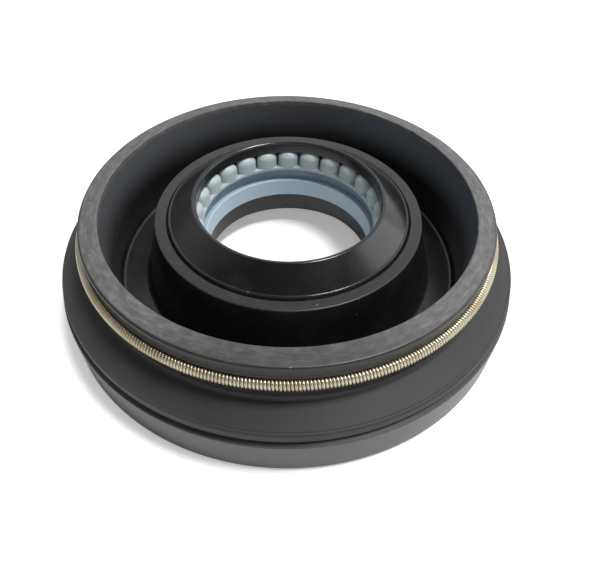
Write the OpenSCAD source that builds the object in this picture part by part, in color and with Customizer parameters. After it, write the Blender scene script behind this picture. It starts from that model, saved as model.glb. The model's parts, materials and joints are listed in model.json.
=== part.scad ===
// Oil seal with a flanged press-fit body, an upstanding lip held in by a garter spring,
// and a hub whose bore carries a lugged bush. All lengths are in millimetres.
// The axis is Z, and the seal sits on the plane z = 0.

/* [Bush] */
// Running diameter of the plain band inside the bush
bore_d = 26; // [18:0.5:40]
// Thickness of the bush, from its running face to the rubber
bush_wall = 2; // [1.5:0.1:3.5]
// Height of the plain running band
band_h = 3.2; // [2:0.1:6]
// Height of the relief between the band and the rail
relief_h = 1.85; // [1:0.05:4]
// Depth of the relief behind the running face
relief_depth = 0.75; // [0.3:0.05:1.2]
// Height of the rail that carries the lugs
rail_h = 0.7; // [0.4:0.1:2]
// How far the rail stands back from the running face
rail_back = 0.25; // [0.05:0.05:0.6]
// Number of lugs round the bush
lug_count = 24; // [12:1:36]
// Height of the lugs above the rail
lug_h = 2.5; // [1.6:0.1:5]
// Gap between two lugs
lug_gap = 0.6; // [0.2:0.05:1.2]
// How far the lug crests stand back from the running face
lug_back = 0.1; // [0.05:0.05:0.4]
// Clearance between the bush and its pocket in the rubber
bush_gap = 0.05; // [0.02:0.01:0.1]

/* [Hub] */
// Rubber between the bush and the hub's side, at the trough floor
hub_wall = 7.7; // [5:0.1:12]
// Height of the hub's shoulder above the trough floor
hub_h = 10; // [8:0.1:14]
// How far the hub's side leans in on its way up
hub_lean = 2.3; // [0.5:0.1:3]
// Width of the flat shoulder round the collar
shoulder_w = 1.75; // [1:0.05:3]
// Width and depth of the fine groove at the collar's foot
collar_groove = 0.3; // [0.15:0.05:0.5]
// Rise of the collar above the shoulder
collar_h = 2.8; // [1.5:0.1:5]
// Rubber above the lugs, up to the collar's edge
collar_cover = 1.9; // [1.4:0.1:3]
// How far the collar's mouth stands back from the running face
mouth_back = 0.9; // [0.4:0.1:1.3]
// Radius of the collar's edge
collar_round = 0.45; // [0.2:0.05:0.6]
// How far the rubber below the bush stands back from the running face
guard_back = 0.3; // [0.1:0.05:0.8]
// Lead-in chamfer at the bore's lower end
lead_in = 1.5; // [0.5:0.1:2]

/* [Trough] */
// Width of the trough at its floor
trough_w = 4.5; // [3:0.1:8]
// Height of the trough floor above the seat
floor_h = 3.7; // [3:0.1:6]
// Thickness of the web under the trough
web_t = 2; // [1.2:0.1:3]
// Radius in the corners of the trough
trough_round = 0.7; // [0.3:0.1:1.2]

/* [Lip] */
// Height of the rim above the flange's edge
lip_h = 8.2; // [7.5:0.1:12]
// How far the lip's inner face leans out on its way up
lip_lean = 0.65; // [0.2:0.05:2]
// Rubber between the rim's inner edge and the spring's seat
lip_wall = 2.05; // [1.2:0.05:3]
// Width of the rim, from its inner edge to its outer band
rim_w = 2.85; // [2.2:0.05:4]
// Fall of the rim's face towards its outer shoulder
rim_fall = 0.4; // [0:0.05:0.6]
// Radius of the rim's outer shoulder
rim_round = 0.4; // [0.2:0.05:0.8]
// Height of the plain band under the shoulder
rim_band_h = 0.1; // [0.05:0.05:0.6]
// Rubber that the spring's seat is cut back into the neck
seat_depth = 0.9; // [0.5:0.05:1.4]

/* [Garter spring] */
// Outside diameter of the coil
coil_d = 1.7; // [1.2:0.1:2.4]
// Diameter of the wire, which is also the pitch of the closed turns
wire_d = 0.44; // [0.42:0.02:0.8]
// Depth of the coil's centre below the rim's face
spring_drop = 3.4; // [3:0.05:5]
// Clearance between the spring and its seat
spring_gap = 0.05; // [0.02:0.01:0.1]

/* [Flange] */
// Width of the flange beyond the lip's neck
flange_w = 4.2; // [3:0.05:8]
// Height of the flange's edge above the seat
flange_h = 8.3; // [7.8:0.05:14]
// Rise of the flange's face towards the neck
flange_rise = 1.75; // [0:0.05:2]
// Radius of the flange's edge
flange_round = 0.5; // [0.2:0.05:0.8]
// Radius between the flange and the neck
neck_round = 0.8; // [0.4:0.1:1.6]
// Height of the line groove that parts the flange from the press-fit wall
line_h = 6.6; // [5:0.1:7]
// Width of the line groove
line_w = 0.75; // [0.3:0.05:1.2]
// Depth of the line groove behind the flange's edge
line_depth = 0.5; // [0.2:0.05:0.8]
// How far the press-fit wall stands out from the flange's edge
press_out = 0.45; // [0.1:0.05:0.8]
// Thickness of the skirt behind the press-fit wall
skirt_w = 3.6; // [2.5:0.1:5]
// Chamfer at the foot of the press-fit wall
foot_chamfer = 0.6; // [0.3:0.05:1]

/* [Hidden] */
$fn = 96;

// Radii, from the bore outwards
bore_r = bore_d / 2;
bush_r = bore_r + bush_wall;
pocket_r = bush_r + bush_gap;
mouth_r = bore_r + mouth_back;
guard_r = bore_r + guard_back;
hub_foot_r = bush_r + hub_wall;
hub_top_r = hub_foot_r - hub_lean;
collar_foot_r = hub_top_r - shoulder_w - collar_groove;
lip_foot_r = hub_foot_r + trough_w;
rim_in_r = lip_foot_r + lip_lean;
rim_r = rim_in_r + rim_w;
seat_r = rim_in_r + lip_wall;
spring_r = seat_r + spring_gap + coil_d / 2;
neck_r = seat_r + seat_depth;
flange_r = neck_r + flange_w;
press_r = flange_r + press_out;
skirt_in_r = press_r - skirt_w;

// Heights, from the seat upwards
web_under_z = floor_h - web_t;
hub_top_z = floor_h + hub_h;
collar_top_z = hub_top_z + collar_h;
bush_top_z = collar_top_z - collar_cover;
rail_top_z = bush_top_z - lug_h;
rail_z = rail_top_z - rail_h;
band_top_z = rail_z - relief_h;
bush_z = band_top_z - band_h;
rim_top_z = flange_h + lip_h;
rim_edge_z = rim_top_z - rim_fall - rim_round - rim_band_h;
spring_z = rim_top_z - spring_drop;
neck_foot_z = flange_h + flange_rise;

// Small edge breaks on moulded corners
edge_break = 0.2;

// How far a rounding's centre lies from a face of the given slope, over its upright neighbour, per radius
function slope_lift(slope) = (1 - sin(slope)) / cos(slope);

// Points of an arc about centre c in the section plane, angles in degrees
function arc(c, r, from, to, steps = 6) =
    [for (i = [0:steps]) let (a = from + (to - from) * i / steps) c + r * [cos(a), sin(a)]];

// Moulded rubber body: one revolved section, walked up the bore, over the hub,
// through the trough, over the lip, and down the flange to the seat
module seal_body() {
    seat_arc_r = coil_d / 2 + spring_gap;
    seat_end = 240;
    hub_tilt = atan2(hub_lean, hub_h);
    lip_tilt = atan2(lip_lean, rim_top_z - floor_h);
    rim_slope = atan2(rim_fall, rim_w);
    flange_slope = atan2(flange_rise, flange_w);
    shoulder_break = edge_break + collar_groove / 2;
    collar_slope = atan2(collar_h - shoulder_break, collar_foot_r - mouth_r - collar_round);
    neck_space = spring_z - coil_d - neck_foot_z;
    fillet = min(neck_round, neck_space, flange_w / 2);
    fillet_z = neck_foot_z + fillet * slope_lift(flange_slope);
    flange_round_z = flange_h - flange_round * slope_lift(flange_slope);
    rim_round_z = rim_top_z - rim_fall - rim_round * slope_lift(rim_slope);
    bore_side = [
        [guard_r + lead_in, web_under_z],
        [guard_r, web_under_z + lead_in],
        [guard_r, bush_z - bush_gap],
        [pocket_r, bush_z - bush_gap],
        [pocket_r, bush_top_z + bush_gap],
        [mouth_r, bush_top_z + bush_gap]
    ];
    collar = concat(
        arc([mouth_r + collar_round, collar_top_z - collar_round], collar_round, 180, 90 - collar_slope),
        [
            [collar_foot_r - edge_break, hub_top_z + shoulder_break],
            [collar_foot_r, hub_top_z + edge_break / 2],
            [collar_foot_r + collar_groove / 2, hub_top_z - collar_groove],
            [collar_foot_r + collar_groove, hub_top_z]
        ]);
    trough = concat(
        arc([hub_top_r - edge_break, hub_top_z - edge_break], edge_break, 90, hub_tilt, 4),
        arc([hub_foot_r + trough_round, floor_h + trough_round], trough_round, 180 + hub_tilt, 270),
        arc([lip_foot_r - trough_round, floor_h + trough_round], trough_round, 270, 360 - lip_tilt));
    rim = concat(
        arc([rim_in_r + edge_break, rim_top_z - edge_break], edge_break, 180 - lip_tilt, 90 - rim_slope, 4),
        arc([rim_r - rim_round, rim_round_z], rim_round, 90 - rim_slope, 0),
        [
            [rim_r, rim_edge_z],
            [seat_r, rim_edge_z - (rim_r - seat_r) / 2]
        ]);
    neck = concat(
        arc([spring_r, spring_z], seat_arc_r, 180, seat_end),
        [[neck_r, spring_z - coil_d / 2 - edge_break]],
        arc([neck_r + fillet, fillet_z], fillet, 180, 270 - flange_slope));
    flange = concat(
        arc([flange_r - flange_round, flange_round_z], flange_round, 90 - flange_slope, 0, 4),
        [
            [flange_r, line_h + line_w / 2],
            [flange_r - line_depth, line_h],
            [press_r, line_h - line_w / 2],
            [press_r, foot_chamfer],
            [press_r - foot_chamfer, 0],
            [skirt_in_r, 0],
            [skirt_in_r - edge_break, web_under_z]
        ]);
    color([0.10, 0.10, 0.11])
        rotate_extrude()
            polygon(concat(bore_side, collar, trough, rim, neck, flange));
}

// Garter spring: a closed-wound coil joined end to end into a ring. The turns touch, so the
// coil is one solid with a single helical ridge that climbs one pitch for each turn.
module garter_spring() {
    turns = floor(2 * PI * spring_r / wire_d);
    sides = 6;
    rings = 2 * turns;
    crest_r = coil_d / 2;
    valley_r = crest_r - wire_d / 2;
    points = [
        for (ring = [0:rings - 1], side = [0:sides - 1])
            let (section_r = ring % 2 == 0 ? crest_r : valley_r)
            let (round_coil = 360 * side / sides)
            let (round_axis = 360 * (ring / 2 + side / sides) / turns)
            let (reach = spring_r + section_r * cos(round_coil))
            [reach * cos(round_axis), reach * sin(round_axis), spring_z + section_r * sin(round_coil)]
    ];
    // Past the last side the ridge carries on one turn, which is two rings, further round
    function at(ring, side) =
        side < sides ? (ring % rings) * sides + side : ((ring + 2) % rings) * sides;
    faces = [
        for (ring = [0:rings - 1], side = [0:sides - 1])
            [at(ring, side), at(ring, side + 1), at(ring + 1, side + 1), at(ring + 1, side)]
    ];
    color([0.62, 0.57, 0.45])
        polyhedron(points, faces);
}

// Bush: a ring with a plain running band, a relief above it, and a rail that carries a crown of lugs
module bore_bush() {
    lug_crest_r = bore_r + lug_back;
    lug_w = (2 * PI * lug_crest_r / lug_count - lug_gap) / (1 - PI / lug_count);
    rail_r = bore_r + rail_back;
    relief_r = bore_r + relief_depth;
    section = [
        [bush_r, bush_z],
        [bush_r, rail_top_z],
        [rail_r + edge_break, rail_top_z],
        [rail_r, rail_top_z - edge_break],
        [rail_r, rail_z],
        [relief_r, rail_z],
        [relief_r, band_top_z],
        [bore_r + edge_break, band_top_z],
        [bore_r, band_top_z - edge_break],
        [bore_r, bush_z + edge_break],
        [bore_r + edge_break, bush_z]
    ];
    color([0.66, 0.75, 0.80]) {
        rotate_extrude()
            polygon(section);
        intersection() {
            for (lug = [0:lug_count - 1])
                rotate(360 * lug / lug_count)
                    translate([0, lug_crest_r + lug_w / 2, 0])
                        lug_column(lug_w);
            cylinder(h = bush_top_z, r = bush_r);
        }
    }
}

// One lug: a round column with a domed head, rooted in the rail
module lug_column(width) {
    root_z = rail_z + rail_h / 4;
    head_z = max(bush_top_z - width / 2, root_z + edge_break);
    translate([0, 0, root_z])
        cylinder(h = head_z - root_z, d = width);
    intersection() {
        translate([0, 0, head_z])
            sphere(d = width);
        translate([-width, -width, root_z])
            cube([2 * width, 2 * width, bush_top_z - root_z]);
    }
}

seal_body();
garter_spring();
bore_bush();
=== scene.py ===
import json
import math

import bpy
from mathutils import Matrix, Vector


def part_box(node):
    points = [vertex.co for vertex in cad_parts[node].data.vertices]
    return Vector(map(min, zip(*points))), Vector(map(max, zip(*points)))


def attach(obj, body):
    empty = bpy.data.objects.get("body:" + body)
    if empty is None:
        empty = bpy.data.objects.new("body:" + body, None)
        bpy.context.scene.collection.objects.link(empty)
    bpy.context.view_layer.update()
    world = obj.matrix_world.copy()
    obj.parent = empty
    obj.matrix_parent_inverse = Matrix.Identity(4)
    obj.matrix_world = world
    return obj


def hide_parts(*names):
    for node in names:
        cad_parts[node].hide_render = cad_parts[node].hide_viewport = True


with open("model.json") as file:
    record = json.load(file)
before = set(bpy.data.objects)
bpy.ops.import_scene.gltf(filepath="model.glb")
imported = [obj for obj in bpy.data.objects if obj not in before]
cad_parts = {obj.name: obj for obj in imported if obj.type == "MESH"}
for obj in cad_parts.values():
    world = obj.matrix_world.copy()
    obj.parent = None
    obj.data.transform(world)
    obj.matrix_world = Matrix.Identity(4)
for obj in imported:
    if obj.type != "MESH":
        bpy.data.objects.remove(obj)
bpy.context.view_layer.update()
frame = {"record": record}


# Rubber body: one black nitrile moulding, turned out of its mould as a single round shape.
# It has the press-fit wall, the flange, the lip with its matt rim, the trough, and the hub
# with its collar, and it carries the spring outside and the bush inside.
mm = 0.001
mounts = {mount["name"]: mount for mount in frame["record"]["mounts"]}
body_low, body_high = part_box("seal_body")
bush_low, bush_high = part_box("bore_bush")
coil_low, coil_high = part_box("garter_spring")

press_r = mounts["housing_wall"]["dims"]["r_mm"] * mm
press_out = 0.45 * mm
flange_r = press_r - press_out
bore_r = mounts["shaft_bore"]["dims"]["r_mm"] * mm
bush_r = bush_high.x
fit_gap = 0.05 * mm
coil_d = 1.7 * mm
coil_mid_r = coil_high.x - coil_d / 2
coil_mid_z = (coil_low.z + coil_high.z) / 2

guard_r = bore_r + 0.3 * mm
pocket_r = bush_r + fit_gap
mouth_r = bore_r + 0.9 * mm
collar_foot_r = 18.35 * mm
hub_top_r = 20.4 * mm
hub_foot_r = 22.7 * mm
lip_foot_r = 27.2 * mm
rim_in_r = 27.85 * mm
under_rim_r = 30.5 * mm
rim_r = 30.7 * mm
neck_r = 30.8 * mm
skirt_in_r = press_r - 3.6 * mm

web_under_z = 1.7 * mm
floor_z = 3.7 * mm
line_z = 6.6 * mm
flange_z = 8.3 * mm
flange_rise = 1.75 * mm
neck_foot_z = flange_z + flange_rise
hub_top_z = 13.7 * mm
rim_top_z = 16.5 * mm
rim_fall = 0.4 * mm
collar_top_z = body_high.z

lead_in = 1.5 * mm
edge_round = 0.2 * mm
collar_round = 0.45 * mm
groove = 0.3 * mm
bead_r = 0.24 * mm
trough_round = 0.7 * mm
rim_round = 0.4 * mm
rim_band_h = 0.1 * mm
neck_round = 0.8 * mm
flange_round = 0.5 * mm
step_w = 0.14 * mm
step_depth = 0.07 * mm
line_half = 0.375 * mm
line_depth = 0.5 * mm
line_edge_turn = 46
bead_turn = 125
foot_chamfer = 0.6 * mm
body_facets = 240
body_crease = 38
weld = 0.002 * mm


def bend(r, z, radius, start, stop, steps=6):
    """Points of a round corner about (r, z) in the half section, angles in degrees."""
    turns = [math.radians(start + (stop - start) * step / steps) for step in range(steps + 1)]
    return [(r + radius * math.cos(turn), z + radius * math.sin(turn)) for turn in turns]


def turned_piece(name, section, steps):
    """Draw a closed half section corner by corner, then spin it once round the axis."""
    bpy.ops.object.select_all(action="DESELECT")
    bpy.ops.mesh.primitive_plane_add(size=mm)
    piece = bpy.context.object
    piece.name = name
    bpy.ops.object.mode_set(mode="EDIT")
    bpy.ops.mesh.merge(type="CENTER")
    bpy.ops.transform.translate(value=(section[0][0], 0, section[0][1]))
    for here, there in zip(section, section[1:] + section[:1]):
        step = (there[0] - here[0], 0, there[1] - here[1])
        bpy.ops.mesh.extrude_vertices_move(TRANSFORM_OT_translate={"value": step})
    bpy.ops.mesh.select_all(action="SELECT")
    bpy.ops.mesh.remove_doubles(threshold=weld)
    bpy.ops.mesh.spin(steps=steps, angle=math.tau, center=(0, 0, 0), axis=(0, 0, 1))
    bpy.ops.mesh.select_all(action="SELECT")
    bpy.ops.mesh.remove_doubles(threshold=weld)
    bpy.ops.mesh.normals_make_consistent(inside=False)
    bpy.ops.object.mode_set(mode="OBJECT")
    return piece


def smooth_faces(piece, angle):
    """Shade a piece smoothly over its round corners, with its flat faces kept flat."""
    bpy.ops.object.select_all(action="DESELECT")
    piece.select_set(True)
    bpy.context.view_layer.objects.active = piece
    bpy.ops.object.shade_smooth_by_angle(angle=math.radians(angle))
    bpy.ops.object.modifier_add(type="WEIGHTED_NORMAL")
    piece.modifiers[-1].keep_sharp = True
    bpy.ops.object.modifier_apply(modifier=piece.modifiers[-1].name)


def tangent_drop(slope, radius):
    """How far below a sloped face's outer corner the centre of its rounding lies."""
    return radius * (1 - math.sin(math.radians(slope))) / math.cos(math.radians(slope))


hub_tilt = math.degrees(math.atan2(hub_foot_r - hub_top_r, hub_top_z - floor_z))
lip_tilt = math.degrees(math.atan2(rim_in_r - lip_foot_r, rim_top_z - floor_z))
collar_slope = math.degrees(math.atan2(collar_top_z - hub_top_z, collar_foot_r - mouth_r))
rim_slope = math.degrees(math.atan2(rim_fall, rim_r - rim_in_r))
flange_slope = math.degrees(math.atan2(flange_rise, flange_r - neck_r))
rim_round_z = rim_top_z - rim_fall - tangent_drop(rim_slope, rim_round)
rim_edge_z = rim_top_z - rim_fall - rim_round - rim_band_h
fillet_z = neck_foot_z + tangent_drop(flange_slope, neck_round)
flange_round_z = flange_z - tangent_drop(flange_slope, flange_round)

# The half section, walked from the bore over the hub, trough, lip and flange down to the foot
bore_side = [
    (guard_r + lead_in, web_under_z),
    (guard_r, web_under_z + lead_in),
    (guard_r, bush_low.z - fit_gap),
    (pocket_r, bush_low.z - fit_gap),
    (pocket_r, bush_high.z + fit_gap),
    (mouth_r, bush_high.z + fit_gap),
]
collar = bend(mouth_r + collar_round, collar_top_z - collar_round, collar_round, 180, 90 - collar_slope)
collar += bend(collar_foot_r - bead_r, hub_top_z + bead_r / 2, bead_r, bead_turn, 0)
collar += [(collar_foot_r + groove / 2, hub_top_z - groove)]
groove_round = edge_round / 2
shoulder = bend(collar_foot_r + groove + groove_round, hub_top_z - groove_round, groove_round, 150, 90, 3)
shoulder += bend(hub_top_r - edge_round, hub_top_z - edge_round, edge_round, 90, hub_tilt, 4)
trough = bend(hub_foot_r + trough_round, floor_z + trough_round, trough_round, 180 + hub_tilt, 270)
trough += bend(lip_foot_r - trough_round, floor_z + trough_round, trough_round, 270, 360 - lip_tilt)
rim = bend(rim_in_r + edge_round, rim_top_z - edge_round, edge_round, 180 - lip_tilt, 90 - rim_slope, 4)
rim += bend(rim_r - rim_round, rim_round_z, rim_round, 90 - rim_slope, 0, 8)
rim += [(rim_r, rim_edge_z + edge_round / 4), (rim_r - edge_round / 2, rim_edge_z - edge_round / 8)]
rim += [(under_rim_r, rim_edge_z - edge_round)]
neck = [(under_rim_r, coil_mid_z + coil_d / 2 + 2 * edge_round)]
neck += bend(coil_mid_r, coil_mid_z, coil_d / 2 + fit_gap, 100, 240, 14)
neck += bend(neck_r - edge_round, coil_mid_z - coil_d / 2 - 2 * edge_round, edge_round, 65, 0, 3)
neck += bend(neck_r + neck_round, fillet_z, neck_round, 180, 270 - flange_slope)
edge_corner = bend(flange_r - flange_round, flange_round_z, flange_round, 90 - flange_slope, 0)
step_r, step_z = edge_corner[0]
flange = [
    (step_r - 2 * step_w, step_z + 2 * step_w * math.tan(math.radians(flange_slope))),
    (step_r - step_w, step_z + step_w * math.tan(math.radians(flange_slope)) - step_depth),
]
flange += edge_corner
line_edge_z = line_z + line_half + edge_round / 2
flange += bend(flange_r - edge_round, line_edge_z, edge_round, 0, -line_edge_turn, 3)
flange += [(flange_r - line_depth, line_z)]
ledge_slope = math.degrees(math.atan2(line_half, press_r - flange_r + line_depth))
ledge_round_z = line_z - line_half - tangent_drop(ledge_slope, edge_round)
flange += bend(press_r - edge_round, ledge_round_z, edge_round, 90 - ledge_slope, 0, 4)
skirt = bend(press_r - edge_round, foot_chamfer, edge_round, 0, -45, 3)
skirt += [
    (press_r - foot_chamfer, body_low.z),
    (skirt_in_r, body_low.z),
    (skirt_in_r - edge_round, web_under_z),
]
body_section = bore_side + collar + shoulder + trough + rim + neck + flange + skirt
rubber_body = turned_piece("rubber_body", body_section, body_facets)
smooth_faces(rubber_body, body_crease)


class Finish:
    """A value in a material's node tree. Sums and products of such values add Math nodes."""

    def __init__(self, tree, socket=None):
        self.tree = tree
        self.socket = socket

    def add(self, kind, settings, feeds, output=0):
        """Add a node, set it up, feed its sockets with values or links, and give one output."""
        node = self.tree.nodes.new(kind)
        for name, value in settings.items():
            setattr(node, name, value)
        for name, value in feeds.items():
            if isinstance(value, Finish):
                self.tree.links.new(value.socket, node.inputs[name])
            else:
                node.inputs[name].default_value = value
        return Finish(self.tree, node.outputs[output])

    def part(self, output):
        """Another output of the node that this value comes from."""
        return Finish(self.tree, self.socket.node.outputs[output])

    def math(self, operation, first, second):
        return self.add("ShaderNodeMath", {"operation": operation}, {0: first, 1: second})

    def __add__(self, other):
        return self.math("ADD", self, other)

    __radd__ = __add__

    def __sub__(self, other):
        return self.math("SUBTRACT", self, other)

    def __rsub__(self, other):
        return self.math("SUBTRACT", other, self)

    def __mul__(self, other):
        return self.math("MULTIPLY", self, other)

    __rmul__ = __mul__

    def __truediv__(self, other):
        return self.math("DIVIDE", self, other)

    def __pow__(self, other):
        return self.math("POWER", self, other)

    def rise(self, low, high):
        """0 below low, 1 above high, and a smooth ramp between them."""
        settings = {"interpolation_type": "SMOOTHSTEP"}
        return self.add("ShaderNodeMapRange", settings, {"Value": self, "From Min": low, "From Max": high})

    def between(self, low, high, soft):
        """1 between low and high, and 0 outside, with soft edges."""
        return self.rise(low - soft, low + soft) * (1 - self.rise(high - soft, high + soft))

    def tint(self, first, second):
        """The first colour where this value is 0, and the second where it is 1."""
        return self.add("ShaderNodeMix", {"data_type": "RGBA"}, {0: self, 6: first, 7: second}, 2)

    def noise(self, place, scale, detail=3.0, roughness=0.5):
        feeds = {"Vector": place, "Scale": scale, "Detail": detail, "Roughness": roughness}
        return self.add("ShaderNodeTexNoise", {}, feeds, "Fac")

    def reach(self, socket):
        self.tree.links.new(self.socket, socket)


def new_finish(name):
    """A material with its shader, and a start for its node expressions."""
    material = bpy.data.materials.new(name)
    material.use_nodes = True
    shader = material.node_tree.nodes["Principled BSDF"]
    return material, shader, Finish(material.node_tree)


def place_in_mm(start):
    """The place on a piece in millimetres, from the piece's own origin."""
    place = start.add("ShaderNodeTexCoord", {}, {}, "Object")
    return start.add("ShaderNodeVectorMath", {"operation": "SCALE"}, {"Vector": place, "Scale": 1 / mm})


def grey(level):
    """A plain grey of one level."""
    return (level, level, level, 1)


rubber, rubber_shader, start = new_finish("moulded_rubber")
place = place_in_mm(start)
x = start.add("ShaderNodeSeparateXYZ", {}, {"Vector": place}, "X")
y = x.part("Y")
z = x.part("Z")
radius = (x * x + y * y) ** 0.5
grain_along = 14
grain_across = 2.2
grain_feeds = {"X": x / radius * grain_along, "Y": y / radius * grain_along, "Z": radius * grain_across}
round_grain = start.add("ShaderNodeCombineXYZ", {}, grain_feeds)
clouds = start.noise(place, 0.16, 4.0, 0.6)
blotches = start.noise(place, 0.75, 5.0, 0.62).rise(0.35, 0.68)
streaks = start.noise(round_grain, 1.0, 4.0, 0.65).rise(0.4, 0.72)
pores = start.noise(place, 5.0, 3.0, 0.6)

# Where each face of the moulding lies, by its radius and height in millimetres
rim_face = radius.between(rim_in_r / mm - 0.05, rim_r / mm - 0.35, 0.2)
rim_face = rim_face * z.rise(rim_top_z / mm - 0.9, rim_top_z / mm - 0.6)
shoulder_face = radius.between(collar_foot_r / mm + 0.3, hub_top_r / mm, 0.1)
shoulder_face = shoulder_face * z.between(hub_top_z / mm - 0.25, hub_top_z / mm + 0.1, 0.05)
trough_face = radius.between(hub_top_r / mm, rim_in_r / mm, 0.1)
trough_face = trough_face * z.rise(floor_z / mm - 0.5, floor_z / mm - 0.2)
# Painted light on the lip's inner wall: paler towards its top, left black towards the trough's floor as
# painted shade
lip_painted_light = radius.between(lip_foot_r / mm - 0.3, rim_in_r / mm + 0.1, 0.1)
lip_painted_light = lip_painted_light * z.rise(floor_z / mm + 4, rim_top_z / mm - 2)
collar_face = 1 - radius.rise(collar_foot_r / mm, collar_foot_r / mm + 0.1)
collar_face = collar_face * z.rise(hub_top_z / mm, hub_top_z / mm + 0.2)
flange_face = radius.rise(neck_r / mm - 0.1, neck_r / mm + 0.1) * z.rise(line_z / mm - 0.4, line_z / mm)
# Painted shade on the flange: dark near the neck, under the lip and spring, and paler towards its edge
flange_painted_light = flange_face * radius.rise(neck_r / mm + 1.4, flange_r / mm - 0.4)
wall_face = radius.rise(press_r / mm - 0.3, press_r / mm - 0.1)
wall_face = wall_face * (1 - z.rise(line_z / mm - 0.3, line_z / mm))

# Black rubber, paler where it is ground, worn or dusty. Painted light makes it paler inside the lip and on
# the flange's outer part, and painted shade darkens the rim's front side
black = (0.009, 0.009, 0.010, 1)
worn_black = (0.018, 0.018, 0.019, 1)
lip_painted_light_grey = (0.082, 0.086, 0.092, 1)
lip_right_painted_light_blue = (0.130, 0.150, 0.175, 1)
flange_painted_light_grey = (0.034, 0.033, 0.031, 1)
wall_grey = (0.046, 0.048, 0.054, 1)
rim_dark = (0.080, 0.080, 0.081, 1)
rim_pale = (0.180, 0.181, 0.180, 1)
dust = (0.30, 0.30, 0.29, 1)
colour = clouds.rise(0.35, 0.75).tint(black, worn_black)
# Painted light: the lip's inner wall paler towards its top, and paler and bluer on its right side as
# painted light from the left
colour = lip_painted_light.tint(colour, x.rise(4, 22).tint(lip_painted_light_grey, lip_right_painted_light_blue))
# Painted shade: the flange's pale outer part is dimmed on its front right, where the lamp's highlight
# falls
front_right_painted_dim = (x - y).rise(8, 28)
colour = (flange_painted_light * (1 - 0.75 * front_right_painted_dim)).tint(colour, flange_painted_light_grey)
colour = wall_face.tint(colour, wall_grey)
rim_mottle = blotches * 0.35 + streaks * 0.65
# Painted shade: the rim's ground face is darker on its front side, in greys of 0.020 to 0.065
rim_front_painted_shade = (1 - y.rise(-31, -22)) * 0.9
rim_colour = rim_mottle.tint(rim_dark, rim_pale)
colour = rim_face.tint(colour, rim_front_painted_shade.tint(rim_colour, rim_mottle.tint(grey(0.020), grey(0.065))))
colour = (shoulder_face * 0.6).tint(colour, streaks.tint(grey(0.014), grey(0.030)))

speck_cell = start.add("ShaderNodeTexVoronoi", {}, {"Vector": place, "Scale": 0.55}, "Distance")
speck_pick = start.add("ShaderNodeSeparateXYZ", {}, {"Vector": speck_cell.part("Color")}, "X")
specks = (1 - speck_cell.rise(0.03, 0.07)) * speck_pick.rise(0.86, 0.88)
specks = specks * z.rise(line_z / mm, line_z / mm + 0.5)
colour = (specks * 0.6).tint(colour, dust)
colour.reach(rubber_shader.inputs["Base Color"])

# Satin as moulded, glossier in the trough and on the collar, dull on the rim and the flange
satin = 0.34
trough_polish = 0.1
collar_polish = 0.17
rim_dull = 0.34
flange_dull = 0.24
dullness = satin + (clouds - 0.5) * 0.12 + (pores - 0.5) * 0.1
dullness = dullness - trough_face * trough_polish - collar_face * collar_polish
dullness = dullness + rim_face * (rim_dull + rim_mottle * 0.1) + flange_face * flange_dull
dullness.reach(rubber_shader.inputs["Roughness"])

# Fine pores, turning marks on the flange, and the streaks of the ground rim
pore_depth = 0.012
ring_pitch = 0.3
ring_depth = 0.0006
rim_depth = 0.02
ring_marks = start.add("ShaderNodeMath", {"operation": "SINE"}, {0: radius * (math.tau / ring_pitch)})
relief = pores * pore_depth + ring_marks * flange_face * ring_depth
relief = relief + rim_face * (streaks * rim_depth + blotches * rim_depth)
bump = start.add("ShaderNodeBump", {}, {"Strength": 0.5, "Distance": mm, "Height": relief})
bump.reach(rubber_shader.inputs["Normal"])
rubber_shader.inputs["IOR"].default_value = 1.52
rubber_body.data.materials.append(rubber)
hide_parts("seal_body")
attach(rubber_body, "root")


# Garter spring: a close-wound coil of drawn spring wire with a yellowed finish, joined end to
# end into a ring. It is stretched over the lip and lies in the seat under the rim.
wire_d = 0.44 * mm
wire_clear = 0.97
wire_weld = 0.005 * mm
turn_steps = 12
wire_sides = 6
path_steps = 64
turn_count = math.floor(math.tau * coil_mid_r / wire_d)
bpy.ops.object.select_all(action="DESELECT")
bpy.ops.curve.primitive_bezier_circle_add(radius=coil_mid_r)
coil_path = bpy.context.object
coil_path.data.resolution_u = path_steps
coil_pitch = coil_path.data.splines[0].calc_length() / turn_count

bpy.ops.object.select_all(action="DESELECT")
wire_r = wire_d / 2 * wire_clear
bpy.ops.mesh.primitive_circle_add(vertices=wire_sides, radius=wire_r,
                                  location=(0, 0, coil_d / 2 - wire_r), rotation=(math.pi / 2, 0, 0))
garter_spring = bpy.context.object
garter_spring.name = "garter_coil"
bpy.ops.object.transform_apply(location=True, rotation=True, scale=True)
bpy.ops.object.modifier_add(type="SCREW")
winding = garter_spring.modifiers[-1]
winding.axis = "X"
winding.angle = math.tau
winding.screw_offset = coil_pitch
winding.iterations = turn_count
winding.steps = turn_steps
winding.render_steps = turn_steps
bpy.ops.object.modifier_apply(modifier=winding.name)
bpy.ops.object.modifier_add(type="CURVE")
hoop = garter_spring.modifiers[-1]
hoop.object = coil_path
hoop.deform_axis = "POS_X"
bpy.ops.object.modifier_apply(modifier=hoop.name)
bpy.ops.object.mode_set(mode="EDIT")
bpy.ops.mesh.select_all(action="SELECT")
bpy.ops.mesh.remove_doubles(threshold=wire_weld)
bpy.ops.mesh.normals_make_consistent(inside=False)
bpy.ops.transform.translate(value=(0, 0, coil_mid_z))
bpy.ops.object.mode_set(mode="OBJECT")
bpy.ops.object.shade_smooth()
bpy.data.objects.remove(coil_path)

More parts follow.
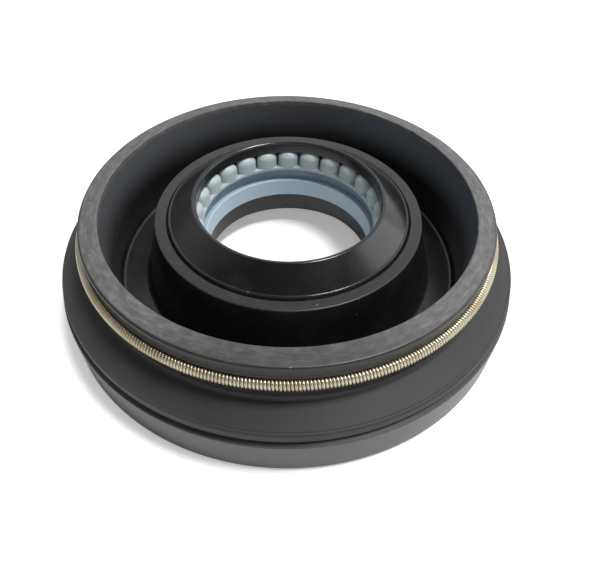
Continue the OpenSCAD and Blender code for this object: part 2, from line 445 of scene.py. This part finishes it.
wire, wire_shader, start = new_finish("yellowed_wire")
place = place_in_mm(start)
stain = start.noise(place, 0.12, 3.0, 0.55).rise(0.42, 0.66)
drawn = start.noise(place, 4.0, 2.0, 0.6)
pale_wire = (0.58, 0.55, 0.42, 1)
brown_wire = (0.44, 0.34, 0.21, 1)
(stain * 0.55 + drawn * 0.2).tint(pale_wire, brown_wire).reach(wire_shader.inputs["Base Color"])
drawn_polish = 0.26
(drawn_polish + drawn * 0.14 + stain * 0.08).reach(wire_shader.inputs["Roughness"])
wire_shader.inputs["Metallic"].default_value = 1.0
garter_spring.data.materials.append(wire)
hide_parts("garter_spring")
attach(garter_spring, "root")


# Bush: a pale blue plastic ring moulded with a plain running band, a relief above it, and a rail
# that carries a crown of rounded lugs. It is held in the hub's pocket, between guard and collar.
lug_count = 24
lug_crest_r = bore_r + 0.1 * mm
lug_gap = 0.6 * mm
lug_w = (math.tau * lug_crest_r / lug_count - lug_gap) / (1 - math.pi / lug_count)
rail_r = bore_r + 0.25 * mm
relief_r = bore_r + 0.75 * mm
band_top_z = bush_low.z + 3.2 * mm
rail_z = band_top_z + 1.85 * mm
rail_top_z = rail_z + 0.7 * mm
lug_root_z = rail_z + 0.35 * mm
lug_back_r = bush_r - 0.15 * mm
bush_facets = 192
bush_crease = 40
bush_section = [
    (bush_r, bush_low.z),
    (bush_r, rail_top_z),
]
bush_section += bend(rail_r + edge_round, rail_top_z - edge_round, edge_round, 90, 180, 3)
bush_section += bend(rail_r + edge_round, rail_z + edge_round, edge_round, 180, 270, 3)
bush_section += [(relief_r, rail_z), (relief_r, band_top_z)]
bush_section += bend(bore_r + edge_round, band_top_z - edge_round, edge_round, 90, 180, 3)
bush_section += bend(bore_r + edge_round, bush_low.z + edge_round, edge_round, 180, 270, 3)
bush = turned_piece("lugged_bush", bush_section, bush_facets)

bpy.ops.object.select_all(action="DESELECT")
head_h = 0.34 * lug_w
lug_half = 0.54 * lug_w
lug_deep = 0.38 * lug_w
head_z = bush_high.z - head_h
bpy.ops.mesh.primitive_uv_sphere_add(segments=24, ring_count=12, radius=1.0,
                                     scale=(lug_half, lug_deep, head_h),
                                     location=(0, lug_crest_r + lug_deep, head_z))
lug = bpy.context.object
bpy.ops.object.transform_apply(location=True, rotation=False, scale=True)


def pick(piece, wanted):
    """Select the vertices of a piece, in edit mode, whose place passes the test."""
    bpy.ops.mesh.select_all(action="DESELECT")
    bpy.ops.object.mode_set(mode="OBJECT")
    for vertex in piece.data.vertices:
        vertex.select = wanted(vertex.co)
    bpy.ops.object.mode_set(mode="EDIT")


bpy.ops.object.mode_set(mode="EDIT")
bpy.ops.mesh.select_mode(type="VERT")
near = 0.01 * mm
pick(lug, lambda co: co.z < head_z - near)
bpy.ops.mesh.delete(type="VERT")
pick(lug, lambda co: co.z < head_z + near)
bpy.ops.mesh.extrude_region_move(TRANSFORM_OT_translate={"value": (0, 0, lug_root_z - head_z)})
bpy.ops.mesh.edge_face_add()
bpy.ops.mesh.select_all(action="SELECT")
bpy.ops.mesh.bisect(plane_co=(0, lug_back_r, 0), plane_no=(0, 1, 0), use_fill=True, clear_outer=True)
bpy.ops.mesh.select_all(action="SELECT")
bpy.ops.mesh.normals_make_consistent(inside=False)
bpy.ops.object.mode_set(mode="OBJECT")
lugs = [lug]
for number in range(1, lug_count):
    bpy.ops.object.select_all(action="DESELECT")
    lug.select_set(True)
    bpy.context.view_layer.objects.active = lug
    bpy.ops.object.duplicate(linked=False)
    copy = bpy.context.object
    copy.matrix_world = Matrix.Rotation(math.tau * number / lug_count, 4, "Z")
    bpy.ops.object.transform_apply(rotation=True)
    lugs.append(copy)
bpy.ops.object.select_all(action="DESELECT")
for each in lugs:
    each.select_set(True)
bpy.context.view_layer.objects.active = lug
bpy.ops.object.join()

bpy.ops.object.select_all(action="DESELECT")
bush.select_set(True)
bpy.context.view_layer.objects.active = bush
bpy.ops.object.modifier_add(type="BOOLEAN")
crown = bush.modifiers[-1]
crown.operation = "UNION"
crown.solver = "EXACT"
crown.object = lug
bpy.ops.object.modifier_apply(modifier=crown.name)
bpy.data.objects.remove(lug)
smooth_faces(bush, bush_crease)

plastic, plastic_shader, start = new_finish("pale_blue_plastic")
place = place_in_mm(start)
z = start.add("ShaderNodeSeparateXYZ", {}, {"Vector": place}, "Z")
cloud = start.noise(place, 0.35, 3.0, 0.5)
fine = start.noise(place, 6.0, 2.0, 0.5)
band_blue = (0.50, 0.63, 0.73, 1)
crown_pale = (0.42, 0.475, 0.48, 1)
shade_blue = (0.34, 0.46, 0.56, 1)
relief_painted_shade_blue = (0.14, 0.20, 0.27, 1)
# Painted shade: the recessed relief between the band and the rail is coloured dark blue
tone = z.rise(rail_z / mm - 0.1, rail_z / mm + 0.25).tint(relief_painted_shade_blue, crown_pale)
tone = z.rise(band_top_z / mm - 0.05, band_top_z / mm + 0.05).tint(band_blue, tone)
tone = ((cloud - 0.35) * 0.4).tint(tone, shade_blue)
tone.reach(plastic_shader.inputs["Base Color"])
plastic_satin = 0.36
fine_depth = 0.01
(plastic_satin + fine * 0.16).reach(plastic_shader.inputs["Roughness"])
bump = start.add("ShaderNodeBump", {}, {"Strength": 0.3, "Distance": mm, "Height": fine * fine_depth})
bump.reach(plastic_shader.inputs["Normal"])
bush.data.materials.append(plastic)
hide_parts("bore_bush")
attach(bush, "root")


# Studio: a plain white table by a bright window on the right, with a lamp overhead to the right,
# a dark patch of ceiling above the front and a dim wall on the left. The camera stands close.
table_w = 1.6
table_glow = 0.32
bpy.ops.object.select_all(action="DESELECT")
bpy.ops.mesh.primitive_plane_add(size=table_w)
table = bpy.context.object
table.name = "table"
white, white_shader, start = new_finish("white_table")
white_shader.inputs["Base Color"].default_value = (0.93, 0.915, 0.895, 1)
white_shader.inputs["Roughness"].default_value = 0.9
white_shader.inputs["Specular IOR Level"].default_value = 0.1
seen = start.add("ShaderNodeLightPath", {}, {}, "Is Camera Ray")
seen.tint((0, 0, 0, 1), (1, 1, 1, 1)).reach(white_shader.inputs["Emission Color"])
white_shader.inputs["Emission Strength"].default_value = table_glow
table.data.materials.append(white)

scene = bpy.context.scene
scene.view_settings.view_transform = "Standard"
world = bpy.data.worlds.new("studio")
world.use_nodes = True
scene.world = world
sky_start = Finish(world.node_tree)
toward = sky_start.add("ShaderNodeTexCoord", {}, {}, "Generated")
right = sky_start.add("ShaderNodeSeparateXYZ", {}, {"Vector": toward}, "X")
back = right.part("Y")
high = right.part("Z")
left_level = 0.45
back_level = 1.05
window_level = 1.15
room = left_level + right.rise(-0.75, -0.3) * (back_level - left_level)
room = room + right.rise(0.1, 0.65) * (window_level - back_level)
ceiling_dim = 0.55
front_dim = 0.93
corner_dim = 0.7
ceiling = high.rise(0.6, 0.85)
dark_front = high.rise(0.5, 0.72) * (1 - back.rise(-0.25, 0.2))
dark_corner = (1 - right.rise(-0.5, 0.1)) * (1 - high.rise(0.15, 0.4))
room = room * (1 - ceiling * ceiling_dim) * (1 - dark_front * front_dim) * (1 - dark_corner * corner_dim)
seen = sky_start.add("ShaderNodeLightPath", {}, {}, "Is Camera Ray")
room = room * (1 - seen) + seen
room.reach(world.node_tree.nodes["Background"].inputs["Strength"])
world.node_tree.nodes["Background"].inputs["Color"].default_value = (1.0, 1.0, 1.0, 1)


def soft_lamp(name, place, size, watts):
    """A square soft lamp that looks at the seal."""
    lamp_data = bpy.data.lights.new(name, "AREA")
    lamp_data.size = size
    lamp_data.energy = watts
    lamp = bpy.data.objects.new(name, lamp_data)
    aim = (-Vector(place)).to_track_quat("-Z", "Y").to_matrix().to_4x4()
    lamp.matrix_world = Matrix.Translation(place) @ aim
    lamp.visible_camera = False
    scene.collection.objects.link(lamp)


soft_lamp("ceiling_lamp", (0.279, 0.0, 0.884), 0.22, 7.0)
soft_lamp("window", (0.90, 0.24, 0.55), 0.6, 1.2)

view_place = (2.04 * mm, -62.51 * mm, 65.35 * mm)
view_down = 48.01
view_roll = 1.61
view_turn = -2.6
picture_width = 600
focal_pixels = 520.0
camera_data = bpy.data.cameras.new("photo_view")
camera_data.sensor_fit = "HORIZONTAL"
camera_data.lens = focal_pixels / picture_width * camera_data.sensor_width
camera_data.clip_start = 0.005
camera = bpy.data.objects.new("photo_view", camera_data)
tilt = Matrix.Rotation(math.radians(90 - view_down), 4, "X")
roll = Matrix.Rotation(math.radians(view_roll), 4, "Z")
turn = Matrix.Rotation(math.radians(view_turn), 4, "Z")
camera.matrix_world = turn @ Matrix.Translation(view_place) @ tilt @ roll
scene.collection.objects.link(camera)
scene.camera = camera
